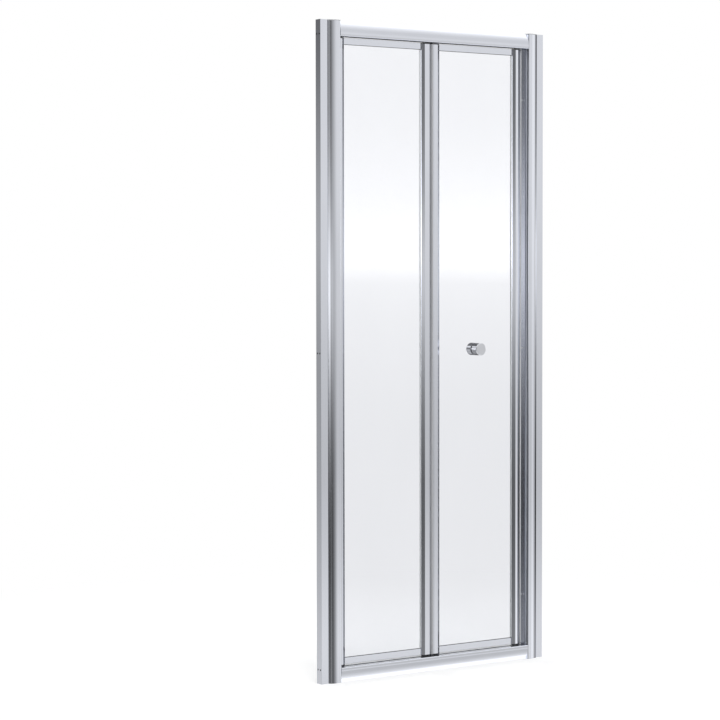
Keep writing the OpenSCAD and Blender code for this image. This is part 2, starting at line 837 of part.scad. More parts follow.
module bush(s, y, z0, z1) {
    color(nylon) leaf(1) both_ends() difference() {
        cyl_z(s, y, bush_r, z0, z1);
        cyl_z(s, y, pin_r + pin_fit, z0 - 1, z1 + 1);
    }
}

module hinge_bushes() { bush(0, front_y, -pin_grip, -bead_end_gap); }
module guide_bushes() { bush(pin_s, track_y, -pin_grip, end_cap_t); }

module top_pivot_pin() {
    color(steel) cyl_z(pivot_x, track_y, pin_r, stile_top - pin_grip,
                       head_z + track_lip + track_h - 2 * block_fit);
}

module bottom_pivot_pin() {
    color(steel) cyl_z(pivot_x, track_y, pin_r, rail_h - track_lip - track_h + 2 * block_fit,
                       stile_bottom + pin_grip);
}

// ---- guides ----

module guide_block(top) {
    z = chamber_z(top);
    color(nylon) difference() {
        box(guide_x - guide_block_l / 2, guide_x + guide_block_l / 2,
            chamber_front + block_fit, chamber_front + track_w - block_fit,
            z - track_h / 2 + block_fit, z + track_h / 2 - block_fit);
        cyl_z(guide_x, track_y, pin_r + pin_fit, z - track_h, z + track_h);
    }
}

module top_guide_block() { guide_block(true); }
module bottom_guide_block() { guide_block(false); }

module top_guide_pin() {
    color(steel) cyl_z(guide_x, track_y, pin_r, stile_top - pin_grip + guide_pin_short,
                       head_z + track_lip + track_h - 2 * block_fit);
}

module bottom_guide_pin() {
    color(steel) cyl_z(guide_x, track_y, pin_r, rail_h - track_lip - track_h + 2 * block_fit,
                       stile_bottom + pin_grip - guide_pin_short);
}

// ---- knobs ----

// A knob drawn along Z, with its foot at z = 0
module knob(l) {
    r = knob_d / 2;
    difference() {
        rotate_extrude($fn = 96) polygon([
            [0, 0], [r - knob_chamfer / 2, 0], [r, knob_chamfer / 2], [r, l - knob_chamfer],
            [r - knob_chamfer, l], [0, l]]);
        translate([0, 0, -1])
            cylinder(r = knob_bolt_d / 2 + screw_fit, h = knob_bolt_grip + screw_fit + 1);
    }
}

module knob_outer() {
    color(silver) translate([knob_x, glass_front - knob_washer_t, mid_z]) rotate([90, 0, 0])
        knob(knob_out_l);
}

module knob_inner() {
    color(silver) translate([knob_x, glass_back + knob_washer_t, mid_z]) rotate([-90, 0, 0])
        knob(knob_in_l);
}

module knob_bolt() {
    color(steel) cyl_y(knob_x, mid_z, knob_bolt_d / 2,
                       glass_front - knob_washer_t - knob_bolt_grip,
                       glass_back + knob_washer_t + knob_bolt_grip);
}

// A washer on each face of the glass, and a sleeve that keeps the bolt off the glass
module knob_washers() {
    hole = knob_bolt_d / 2 + screw_fit;
    color(dark) {
        for (y = [glass_front - knob_washer_t, glass_back]) difference() {
            cyl_y(knob_x, mid_z, knob_d / 2 - knob_chamfer, y, y + knob_washer_t);
            cyl_y(knob_x, mid_z, hole, y - 1, y + knob_washer_t + 1);
        }
        difference() {
            cyl_y(knob_x, mid_z, knob_hole_d / 2 - screw_fit, glass_front + screw_fit,
                  glass_back - screw_fit);
            cyl_y(knob_x, mid_z, hole, front_y, back_y);
        }
    }
}

wall_channel_left();
wall_channel_right();
jamb_left();
jamb_right();
head_rail();
sill_rail();
jamb_top_caps();
corner_screws();
adjusting_screws();
screw_covers();
pivot_block_top();
pivot_block_bottom();
pivot_block_screws();
thrust_washer();
strike_profile();
strike_magnet();
strike_screws();
pivot_side_seal();
pivot_stile();
pivot_leaf_hinge_stile();
pivot_leaf_top_rail();
pivot_leaf_bottom_rail();
pivot_leaf_glass();
pivot_leaf_gasket();
pivot_stile_end_caps();
hinge_end_plates();
top_pivot_pin();
bottom_pivot_pin();
hinge_pins();
pivot_leaf_screws();
pivot_leaf_wiper();
lead_leaf_hinge_stile();
closing_stile();
lead_leaf_top_rail();
lead_leaf_bottom_rail();
lead_leaf_glass();
lead_leaf_gasket();
closing_stile_end_caps();
lead_hinge_stile_end_caps();
guide_bushes();
hinge_bushes();
lead_leaf_screws();
lead_leaf_wiper();
closing_magnet_strip();
knob_outer();
knob_inner();
knob_bolt();
knob_washers();
top_guide_block();
top_guide_pin();
bottom_guide_block();
bottom_guide_pin();
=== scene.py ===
import json
import math

import bmesh
import bpy
from mathutils import Matrix, Vector

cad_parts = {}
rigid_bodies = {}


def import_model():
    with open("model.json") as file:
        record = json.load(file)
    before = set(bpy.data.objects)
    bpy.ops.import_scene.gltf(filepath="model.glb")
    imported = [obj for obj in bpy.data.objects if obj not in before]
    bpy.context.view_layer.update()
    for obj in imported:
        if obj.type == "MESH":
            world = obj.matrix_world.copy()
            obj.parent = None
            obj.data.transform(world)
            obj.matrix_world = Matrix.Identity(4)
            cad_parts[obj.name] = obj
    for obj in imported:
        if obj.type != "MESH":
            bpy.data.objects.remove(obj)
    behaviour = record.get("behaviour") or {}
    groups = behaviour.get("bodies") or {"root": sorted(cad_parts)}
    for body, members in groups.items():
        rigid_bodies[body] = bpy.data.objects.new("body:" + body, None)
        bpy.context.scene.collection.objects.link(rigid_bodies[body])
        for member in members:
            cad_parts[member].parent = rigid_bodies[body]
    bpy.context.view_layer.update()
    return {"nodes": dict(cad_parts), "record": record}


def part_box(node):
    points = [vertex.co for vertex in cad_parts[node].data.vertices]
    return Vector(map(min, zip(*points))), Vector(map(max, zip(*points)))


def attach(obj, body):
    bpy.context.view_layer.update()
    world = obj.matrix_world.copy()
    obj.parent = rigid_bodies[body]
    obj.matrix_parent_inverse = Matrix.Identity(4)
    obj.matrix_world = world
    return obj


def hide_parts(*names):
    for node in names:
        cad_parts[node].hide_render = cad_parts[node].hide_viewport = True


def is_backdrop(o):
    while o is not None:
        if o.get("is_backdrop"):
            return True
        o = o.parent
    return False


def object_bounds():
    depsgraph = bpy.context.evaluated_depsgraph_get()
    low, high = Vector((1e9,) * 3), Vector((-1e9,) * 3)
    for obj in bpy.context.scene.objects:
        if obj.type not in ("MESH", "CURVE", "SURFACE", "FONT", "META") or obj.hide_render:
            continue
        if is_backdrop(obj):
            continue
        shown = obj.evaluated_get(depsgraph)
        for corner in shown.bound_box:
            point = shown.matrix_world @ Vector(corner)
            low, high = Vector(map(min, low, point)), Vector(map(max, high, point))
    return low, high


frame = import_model()
mm = 0.001
bodyOf = {
    node: body
    for body, nodes in frame["record"]["behaviour"]["bodies"].items()
    for node in nodes
}


def clearSelection():
    for other in bpy.context.view_layer.objects:
        other.select_set(False)


def takeUp(piece):  # selects one piece alone and makes it active
    clearSelection()
    piece.select_set(True)
    bpy.context.view_layer.objects.active = piece


def editMode(piece):
    takeUp(piece)
    bpy.ops.object.mode_set(mode="EDIT")


def objectMode():
    bpy.ops.object.mode_set(mode="OBJECT")


def pickEdges(wanted):  # selects the edges that pass a test, and says how many
    bpy.ops.mesh.select_all(action="DESELECT")
    bpy.ops.mesh.select_mode(type="EDGE")
    mesh = bmesh.from_edit_mesh(bpy.context.edit_object.data)
    mesh.normal_update()
    found = 0
    for edge in mesh.edges:
        if wanted(edge):
            edge.select_set(True)
            found += 1
    mesh.select_flush_mode()
    bmesh.update_edit_mesh(bpy.context.edit_object.data)
    return found


def sharpEdge(edge, degrees=25):
    return len(edge.link_faces) == 2 and edge.is_convex and edge.calc_face_angle() > math.radians(degrees)


def smoothCurves(piece, degrees=32):  # soft shading over curves, flats stay flat
    takeUp(piece)
    bpy.ops.object.shade_smooth_by_angle(angle=math.radians(degrees))
    weighted = piece.modifiers.new("flat faces", "WEIGHTED_NORMAL")
    weighted.keep_sharp = True
    weighted.weight = 100
    bpy.ops.object.modifier_apply(modifier=weighted.name)


def giveMaterial(piece, material):
    piece.data.materials.clear()
    piece.data.materials.append(material)
    for polygon in piece.data.polygons:
        polygon.material_index = 0


def standFor(piece, nodeName, material):  # the piece takes the place and the body of a CAD node, with a material of its own, and the node is hidden
    giveMaterial(piece, material)
    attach(piece, bodyOf[nodeName])
    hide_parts(nodeName)


weld = {"gap": 0.002 * mm, "flatDegrees": 0.4}  # joins the triangles of a CAD node into whole faces


def mergedCopy(nodeName):  # a welded copy of a CAD node without the triangles' flat seams
    piece = bpy.data.objects.new(nodeName + "_finished", frame["nodes"][nodeName].data.copy())
    bpy.context.scene.collection.objects.link(piece)
    for attribute in ("custom_normal", "sharp_face", "sharp_edge"):
        if attribute in piece.data.attributes:
            piece.data.attributes.remove(piece.data.attributes[attribute])
    editMode(piece)
    bpy.ops.mesh.select_all(action="SELECT")
    bpy.ops.mesh.remove_doubles(threshold=weld["gap"])
    bpy.ops.mesh.dissolve_limited(angle_limit=math.radians(weld["flatDegrees"]))
    objectMode()
    return piece


def easeEdges(piece, width, steps, wanted):  # rounds off the sharp outer edges that pass a test
    editMode(piece)
    if pickEdges(lambda edge: sharpEdge(edge) and wanted(edge)):
        bpy.ops.mesh.bevel(offset=width, segments=steps, affect="EDGES", clamp_overlap=True)
    objectMode()


def finishNode(nodeName, finish):
    piece = mergedCopy(nodeName)
    where = finish.get("where", lambda edge: True)
    easeEdges(piece, finish["edge"], finish.get("steps", 3),
              lambda edge: edge.calc_length() > finish["least"] and where(edge))
    smoothCurves(piece)
    standFor(piece, nodeName, finish["material"])
    return piece


def finishAll(nodeNames, finish):
    for nodeName in nodeNames:
        finishNode(nodeName, finish)


def looseBoxes(nodeName):  # the low and high corner of each separate solid of a node
    whole = mergedCopy(nodeName)
    editMode(whole)
    bpy.ops.mesh.separate(type="LOOSE")
    objectMode()
    boxes = []
    for part in list(bpy.context.selected_objects):
        corners = [vertex.co.copy() for vertex in part.data.vertices]
        low = Vector([min(corner[axis] for corner in corners) for axis in range(3)])
        high = Vector([max(corner[axis] for corner in corners) for axis in range(3)])
        boxes.append((low, high))
        bpy.data.objects.remove(part)
    return boxes


# Shares of the head's radius or height, and how far each recess is turned for a metre of height.
# The model is made a hundred times too large, because the Boolean is not safe at the real size.
screwModel = {"enlarged": 100, "headSides": 48, "shankSides": 24, "headRounding": 0.6, "shankWidth": 0.5,
              "recessLong": 1.25, "recessWide": 0.26, "recessLift": 0.05, "tip": 0.12, "turnPerMetre": 40}


def crossHeadScrew(headRadius, headHeight, length, flush):  # along Z, the top of its head at the origin
    big = screwModel["enlarged"]
    radius, height = headRadius * big, headHeight * big
    shankRadius = radius * screwModel["shankWidth"]
    clearSelection()
    if flush:
        bpy.ops.mesh.primitive_cone_add(vertices=screwModel["headSides"], radius1=shankRadius,
                                        radius2=radius, depth=height, location=(0, 0, -height / 2))
    else:
        bpy.ops.mesh.primitive_cylinder_add(vertices=screwModel["headSides"], radius=radius, depth=height,
                                            location=(0, 0, -height / 2))
    screw = bpy.context.active_object
    if not flush:
        easeEdges(screw, height * screwModel["headRounding"], 5,
                  lambda edge: all(end.co.z > 0 for end in edge.verts))
    sizes = (screwModel["recessLong"], screwModel["recessWide"])
    for long, wide in (sizes, sizes[::-1]):
        bpy.ops.mesh.primitive_cube_add(size=1)
        arm = bpy.context.active_object
        arm.scale = (radius * long, radius * wide, height)
        bpy.ops.object.transform_apply(location=False, rotation=False, scale=True)
        arm.location.z = height * screwModel["recessLift"]
        recess = screw.modifiers.new("recess", "BOOLEAN")
        recess.operation = "DIFFERENCE"
        recess.object = arm
        takeUp(screw)
        bpy.ops.object.modifier_apply(modifier=recess.name)
        bpy.data.objects.remove(arm)
    rest = length * big - height
    bpy.ops.mesh.primitive_cylinder_add(vertices=screwModel["shankSides"], radius=shankRadius, depth=rest,
                                        location=(0, 0, -height - rest / 2))
    shank = bpy.context.active_object
    editMode(shank)
    pickEdges(lambda edge: all(end.co.z < 0 for end in edge.verts) and sharpEdge(edge))
    bpy.ops.mesh.bevel(offset=radius * screwModel["tip"], segments=2, affect="EDGES")
    objectMode()
    screw.select_set(True)
    bpy.context.view_layer.objects.active = screw
    bpy.ops.object.join()
    bpy.ops.object.transform_apply(location=True, rotation=False, scale=False)
    screw.data.transform(Matrix.Scale(1 / big, 4))
    return screw


def layScrews(nodeName, facing, flush):  # facing is 1 where the heads look into the shower, else -1
    boxes = looseBoxes(nodeName)
    low, high = boxes[0]
    radius = (high.x - low.x) / 2
    model = crossHeadScrew(radius, radius / 2, high.y - low.y, flush)
    turned = Matrix.Rotation(math.radians(-90 * facing), 4, "X")
    copies = []
    for low, high in boxes:
        top = high.y if facing > 0 else low.y
        place = Matrix.Translation(((low.x + high.x) / 2, top, (low.z + high.z) / 2))
        twist = Matrix.Rotation(low.z * screwModel["turnPerMetre"], 4, "Z")  # no two end at the same angle
        copy = bpy.data.objects.new(nodeName + "_finished", model.data.copy())
        bpy.context.scene.collection.objects.link(copy)
        copy.data.transform(place @ turned @ twist)
        copies.append(copy)
    bpy.data.objects.remove(model)
    takeUp(copies[0])
    for copy in copies:
        copy.select_set(True)
    bpy.ops.object.join()
    smoothCurves(copies[0])
    standFor(copies[0], nodeName, bareSteel)


def startMaterial(name):
    material = bpy.data.materials.new(name)
    material.use_nodes = True
    tree = material.node_tree
    return material, tree, tree.nodes["Principled BSDF"]


def addNode(tree, kind, **sockets):  # sockets are given by name, with spaces written as underscores
    node = tree.nodes.new("ShaderNode" + kind)
    for name, value in sockets.items():
        node.inputs[name.replace("_", " ")].default_value = value
    return node


def grain(tree, stretch, detail):  # noise on the piece's own place, finer along the larger numbers
    place = addNode(tree, "TexCoord")
    mapping = addNode(tree, "Mapping", Scale=stretch)
    noise = addNode(tree, "TexNoise", Scale=1.0, Detail=detail, Roughness=0.55)
    tree.links.new(place.outputs["Object"], mapping.inputs["Vector"])
    tree.links.new(mapping.outputs["Vector"], noise.inputs["Vector"])
    return noise.outputs["Fac"]


def spread(tree, source, low, high, fromLow=0.3, fromHigh=0.7):  # a noise as a range of values
    fitted = addNode(tree, "MapRange", From_Min=fromLow, From_Max=fromHigh, To_Min=low, To_Max=high)
    tree.links.new(source, fitted.inputs["Value"])
    return fitted.outputs["Result"]


def tint(tree, source, darker, lighter):  # a noise as a mix of two colours
    mix = tree.nodes.new("ShaderNodeMix")
    mix.data_type = "RGBA"
    mix.inputs["A"].default_value = (*darker, 1)
    mix.inputs["B"].default_value = (*lighter, 1)
    tree.links.new(spread(tree, source, 0, 1), mix.inputs["Factor"])
    return mix.outputs["Result"]


def combine(tree, operation, first, second=None):  # a math node on two sockets or on a socket and a number
    node = addNode(tree, "Math")
    node.operation = operation
    tree.links.new(first, node.inputs[0])
    if isinstance(second, (int, float)):
        node.inputs[1].default_value = second
    elif second is not None:
        tree.links.new(second, node.inputs[1])
    return node.outputs[0]


def addBump(tree, source, strength, depth):
    bump = addNode(tree, "Bump", Strength=strength, Distance=depth)
    tree.links.new(source, bump.inputs["Height"])
    return bump.outputs["Normal"]


dieLines = {"fine": 1900, "slow": 3, "cloudsAcross": 30, "cloudsAlong": 5, "bump": 0.05, "depth": 0.02 * mm}


def extrudedAluminium(name, along, darker, lighter, rough):  # faint die lines along its length
    def stretched(slow, fine):
        return {"x": (slow, fine, fine), "z": (fine, fine, slow)}[along]

    material, tree, shader = startMaterial(name)
    lines = grain(tree, stretched(dieLines["slow"], dieLines["fine"]), 2.0)
    clouds = grain(tree, stretched(dieLines["cloudsAlong"], dieLines["cloudsAcross"]), 3.0)
    shader.inputs["Metallic"].default_value = 1.0
    tree.links.new(tint(tree, clouds, darker, lighter), shader.inputs["Base Color"])
    tree.links.new(spread(tree, lines, *rough), shader.inputs["Roughness"])
    tree.links.new(addBump(tree, lines, dieLines["bump"], dieLines["depth"]), shader.inputs["Normal"])
    return material


polishedLook = {"darker": (0.835, 0.858, 0.925), "lighter": (0.865, 0.888, 0.955), "rough": (0.06, 0.11)}
beadLook = {"darker": (0.65, 0.66, 0.69), "lighter": (0.7, 0.71, 0.74), "rough": (0.5, 0.58)}
# painted shade: the inside look below is a near-black metal that stands for the shade inside the channels
# and their holes; its higher roughness is the real unpolished finish
insideShadeLook = {"darker": (0.2, 0.2, 0.21), "lighter": (0.26, 0.26, 0.27), "rough": (0.5, 0.6)}
strikeLook = {"darker": (0.76, 0.78, 0.84), "lighter": (0.8, 0.82, 0.88), "rough": (0.07, 0.12)}
polishedUpright = extrudedAluminium("polished aluminium upright", "z", **polishedLook)
polishedLevel = extrudedAluminium("polished aluminium level", "x", **polishedLook)
satinBead = extrudedAluminium("satin aluminium bead", "z", **beadLook)
shadedMillInside = extrudedAluminium("channel inside, unpolished and painted dark as shade", "z", **insideShadeLook)
strikeMetal = extrudedAluminium("polished aluminium strike", "z", **strikeLook)


paneLook = {"index": 1.5, "darker": (0.853, 0.862, 0.893), "lighter": (0.869, 0.878, 0.909),
            "shadow": (0.9, 0.93, 0.93, 1), "haze": (5, 5, 2), "wave": (2, 2, 9), "waviness": 0.04,
            "waveDepth": 0.2 * mm}


def clearGlass():
    material, tree, shader = startMaterial("clear toughened glass")
    shader.inputs["Roughness"].default_value = 0.0
    shader.inputs["IOR"].default_value = paneLook["index"]
    shader.inputs["Transmission Weight"].default_value = 1.0
    haze = grain(tree, paneLook["haze"], 4.0)
    tree.links.new(tint(tree, haze, paneLook["darker"], paneLook["lighter"]), shader.inputs["Base Color"])
    wave = grain(tree, paneLook["wave"], 1.0)
    ripple = addBump(tree, wave, paneLook["waviness"], paneLook["waveDepth"])
    tree.links.new(ripple, shader.inputs["Normal"])
    lampLight = addNode(tree, "BsdfTransparent", Color=paneLook["shadow"])
    path = addNode(tree, "LightPath")
    mix = addNode(tree, "MixShader")
    tree.links.new(path.outputs["Is Shadow Ray"], mix.inputs[0])
    tree.links.new(shader.outputs[0], mix.inputs[1])
    tree.links.new(lampLight.outputs[0], mix.inputs[2])
    tree.links.new(mix.outputs[0], tree.nodes["Material Output"].inputs["Surface"])
    return material


mouldedGrain = {"clouds": (90, 90, 25), "smoother": 0.06, "rougher": 0.08, "depth": 0.05 * mm}


def moulded(name, darker, lighter, roughness, speck, strength):  # plastic, rubber or nylon
    material, tree, shader = startMaterial(name)
    clouds = grain(tree, mouldedGrain["clouds"], 4.0)
    pits = grain(tree, (speck, speck, speck), 2.0)
    rough = spread(tree, pits, roughness - mouldedGrain["smoother"], roughness + mouldedGrain["rougher"])
    tree.links.new(tint(tree, clouds, darker, lighter), shader.inputs["Base Color"])
    tree.links.new(rough, shader.inputs["Roughness"])
    tree.links.new(addBump(tree, pits, strength, mouldedGrain["depth"]), shader.inputs["Normal"])
    return material


gasketLook = {"darker": (0.93, 0.945, 0.945), "lighter": (0.97, 0.98, 0.98), "roughness": 0.35,
              "speck": 2400, "strength": 0.08}
# painted shade: a dark grey given to the gasket where it runs along the top and bottom rails, standing for
# the shadow between rail and glass
railShadeLook = {"colour": (0.1, 0.105, 0.11, 1), "reach": 1.5 * mm}


def gasketWithRailShade():  # milky beside the stiles, and painted dark along the rails as the shade between rail and glass
    material = moulded("glazing gasket", **gasketLook)
    tree = material.node_tree
    shader = tree.nodes["Principled BSDF"]
    milky = shader.inputs["Base Color"].links[0].from_socket
    place = addNode(tree, "TexCoord")
    split = addNode(tree, "SeparateXYZ")
    tree.links.new(place.outputs["Object"], split.inputs[0])
    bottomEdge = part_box("lead_leaf_bottom_rail")[1].z + railShadeLook["reach"]
    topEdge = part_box("lead_leaf_top_rail")[0].z - railShadeLook["reach"]
    # painted shade: the gasket turns dark above the top rail's lower edge and below the bottom rail's upper
    # edge
    above = combine(tree, "GREATER_THAN", split.outputs["Z"], topEdge)
    below = combine(tree, "LESS_THAN", split.outputs["Z"], bottomEdge)
    mix = tree.nodes.new("ShaderNodeMix")
    mix.data_type = "RGBA"
    mix.inputs["B"].default_value = railShadeLook["colour"]
    tree.links.new(combine(tree, "ADD", above, below), mix.inputs["Factor"])
    tree.links.new(milky, mix.inputs["A"])
    tree.links.new(mix.outputs["Result"], shader.inputs["Base Color"])
    return material


greyRubber = moulded("grey seal rubber", darker=(0.2, 0.205, 0.215), lighter=(0.25, 0.255, 0.265),
                     roughness=0.55, speck=2600, strength=0.25)
glazingGasket = gasketWithRailShade()
milkyWiper = moulded("milky wiper", darker=(0.7, 0.71, 0.72), lighter=(0.77, 0.78, 0.79),
                     roughness=0.4, speck=2400, strength=0.1)
paleMagnet = moulded("pale sleeve over the fixed magnet",
                     darker=(0.6, 0.61, 0.63), lighter=(0.66, 0.67, 0.69),
                     roughness=0.3, speck=1800, strength=0.08)
blackPlastic = moulded("black end cap plastic", darker=(0.012, 0.012, 0.014), lighter=(0.024, 0.024, 0.027),
                       roughness=0.5, speck=2200, strength=0.3)
greyPlastic = moulded("silver grey plastic", darker=(0.3, 0.31, 0.33), lighter=(0.36, 0.37, 0.39),
                      roughness=0.4, speck=2400, strength=0.2)
whiteNylon = moulded("white nylon", darker=(0.72, 0.72, 0.69), lighter=(0.8, 0.8, 0.78),
                     roughness=0.45, speck=1700, strength=0.15)

latheLook = {"waveTurn": 20, "wobble": 0.4, "clouds": 60, "darker": 0.95, "smoother": 0.8, "rougher": 1.25,
             "depth": 0.01 * mm}


# Rings round an axis, as a lathe leaves. A wave texture turns by waveTurn radians for a metre,
# so the rings stand two pi times the ring step apart.
def turnedMetal(name, colour, roughness, axis, centre, ringStep, strength):
    material, tree, shader = startMaterial(name)
    place = addNode(tree, "TexCoord")
    mapping = addNode(tree, "Mapping", Location=[-value for value in centre])
    tree.links.new(place.outputs["Object"], mapping.inputs["Vector"])
    rings = addNode(tree, "TexWave", Scale=1 / (ringStep * latheLook["waveTurn"]),
                    Distortion=latheLook["wobble"], Detail=1.0)
    rings.wave_type = "RINGS"
    rings.rings_direction = axis
    tree.links.new(mapping.outputs["Vector"], rings.inputs["Vector"])
    ring = rings.outputs["Fac"]
    clouds = grain(tree, (latheLook["clouds"],) * 3, 3.0)
    darker = [channel * latheLook["darker"] for channel in colour]
    rough = spread(tree, ring, roughness * latheLook["smoother"], roughness * latheLook["rougher"], 0, 1)
    shader.inputs["Metallic"].default_value = 1.0
    tree.links.new(tint(tree, clouds, darker, colour), shader.inputs["Base Color"])
    tree.links.new(rough, shader.inputs["Roughness"])
    tree.links.new(addBump(tree, ring, strength, latheLook["depth"]), shader.inputs["Normal"])
    return material


knobLow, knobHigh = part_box("knob_outer")
chromeKnob = turnedMetal("bright turned knob", colour=(0.86, 0.875, 0.92), roughness=0.1, axis="Y",
                         centre=(knobLow + knobHigh) / 2, ringStep=0.4 * mm, strength=0.12)
bareSteel = turnedMetal("plain stainless steel", colour=(0.68, 0.69, 0.71), roughness=0.24, axis="Z",
                        centre=(0, 0, 0), ringStep=0.5 * mm, strength=0.2)
print("materials ready")

# Edges shorter than "least" stay sharp. Only the edges along a profile are longer than alongOnly.
alongOnly = 100 * mm
everyEdge = 0.1 * mm

# Profiles of the fixed frame.
uprightProfiles = {"edge": 0.3 * mm, "least": alongOnly, "material": polishedUpright}
levelProfiles = {"edge": 0.3 * mm, "least": alongOnly, "material": polishedLevel}
strike = {"edge": 0.3 * mm, "least": alongOnly, "material": strikeMetal}
jambCaps = {"edge": 0.5 * mm, "least": 1 * mm, "material": greyPlastic}
channelInside = {"under": 0.4 * mm, "endCut": 1 * mm, "levelFace": 0.99}
finishAll(("jamb_left", "jamb_right"), uprightProfiles)
for nodeName in ("wall_channel_left", "wall_channel_right"):
    channel = finishNode(nodeName, uprightProfiles)
    channel.data.materials.append(shadedMillInside)
    low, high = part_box(nodeName)
    for polygon in channel.data.polygons:  # the inside and the holes' walls stay unpolished and get a near-black metal as painted shade
        middle = polygon.center
        fromWall = high.x - middle.x if high.x > 0 else middle.x - low.x
        depth = min(fromWall, middle.y - low.y, high.y - middle.y)
        ends = (low.z + channelInside["endCut"], high.z - channelInside["endCut"])
        level = abs(polygon.normal.z) >= channelInside["levelFace"]
        if depth > channelInside["under"] and ends[0] < middle.z < ends[1] and not level:
            polygon.material_index = 1
finishNode("strike_profile", strike)
finishAll(("head_rail", "sill_rail"), levelProfiles)
finishNode("jamb_top_caps", jambCaps)
print("fixed frame finished")

# Profiles of the leaves.
stileProfiles = {"edge": 0.35 * mm, "least": alongOnly, "material": polishedUpright}
leafRails = {"edge": 0.35 * mm, "least": 30 * mm, "material": polishedLevel}
beadRadius = 5.6 * mm
finishAll(("pivot_stile", "pivot_leaf_hinge_stile", "closing_stile"), stileProfiles)
beadStile = finishNode("lead_leaf_hinge_stile", stileProfiles)
beadStile.data.materials.append(satinBead)
joints = frame["record"]["behaviour"]["joints"]
foldAxis = next(joint["pos_m"] for joint in joints if joint["name"] == "fold_hinge")
for polygon in beadStile.data.polygons:  # the round bead has a duller finish than the faces
    if math.hypot(polygon.center.x - foldAxis[0], polygon.center.y - foldAxis[1]) < beadRadius:
        polygon.material_index = 1
for leaf in ("pivot_leaf", "lead_leaf"):
    finishAll((leaf + "_top_rail", leaf + "_bottom_rail"), leafRails)
print("leaf profiles finished")

# Glass and its gaskets.
panes = {"edge": 0.5 * mm, "steps": 2, "least": alongOnly, "material": clearGlass()}
gaskets = {"edge": 0.45 * mm, "least": alongOnly, "material": glazingGasket}
finishAll(("pivot_leaf_glass", "lead_leaf_glass"), panes)
finishAll(("pivot_leaf_gasket", "lead_leaf_gasket"), gaskets)
print("glass and gaskets finished")

# Seals, magnets and end caps.
sideSeal = {"edge": 0.3 * mm, "least": alongOnly, "material": greyRubber}
wipers = {"edge": 0.3 * mm, "least": alongOnly, "material": milkyWiper}
fixedMagnet = {"edge": 0.9 * mm, "steps": 4, "least": alongOnly, "material": paleMagnet}
movingMagnet = {"edge": 0.9 * mm, "steps": 4, "least": alongOnly, "material": greyRubber}
endCaps = {"edge": 0.4 * mm, "least": 1.5 * mm, "material": blackPlastic}
finishNode("pivot_side_seal", sideSeal)
finishAll(("pivot_leaf_wiper", "lead_leaf_wiper"), wipers)
finishNode("strike_magnet", fixedMagnet)
finishNode("closing_magnet_strip", movingMagnet)
finishAll(("pivot_stile_end_caps", "closing_stile_end_caps", "lead_hinge_stile_end_caps"), endCaps)
finishNode("hinge_end_plates", endCaps)
print("seals and caps finished")

# Blocks, pins, bushes and screws.
blocks = {"edge": 0.6 * mm, "least": 5 * mm, "material": whiteNylon}
bushes = {"edge": 0.2 * mm, "steps": 2, "least": everyEdge, "material": whiteNylon}
washers = {"edge": 0.2 * mm, "steps": 2, "least": everyEdge, "material": blackPlastic}
steelBits = {"edge": 0.25 * mm, "steps": 2, "least": everyEdge, "material": bareSteel}
finishAll(("pivot_block_top", "pivot_block_bottom", "top_guide_block", "bottom_guide_block"), blocks)
finishAll(("guide_bushes", "hinge_bushes"), bushes)
finishNode("knob_washers", washers)
finishAll(("top_pivot_pin", "bottom_pivot_pin", "hinge_pins"), steelBits)
finishAll(("top_guide_pin", "bottom_guide_pin", "thrust_washer"), steelBits)
finishAll(("corner_screws", "adjusting_screws", "knob_bolt"), steelBits)
layScrews("strike_screws", facing=-1, flush=False)
layScrews("pivot_block_screws", facing=1, flush=False)
layScrews("pivot_leaf_screws", facing=1, flush=True)
layScrews("lead_leaf_screws", facing=1, flush=True)
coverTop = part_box("screw_covers")[1].y - 0.1 * mm
domedCovers = {"edge": 1.1 * mm, "steps": 5, "least": everyEdge, "material": greyPlastic,
               "where": lambda edge: all(end.co.y > coverTop for end in edge.verts)}
finishNode("screw_covers", domedCovers)
print("small parts finished")

# Knobs.
knobs = {"edge": 0.4 * mm, "least": everyEdge, "material": chromeKnob}
finishAll(("knob_outer", "knob_inner"), knobs)
print("knobs finished")

# A glossy depth above these means that light was mirrored at least once or at least twice.
onceMirrored = 0.5
twiceMirrored = 1.5

floorLook = {"side": 60.0, "colour": (0.8, 0.8, 0.8, 1), "nearGlow": 0.3, "near": 0.6, "far": 2.2}


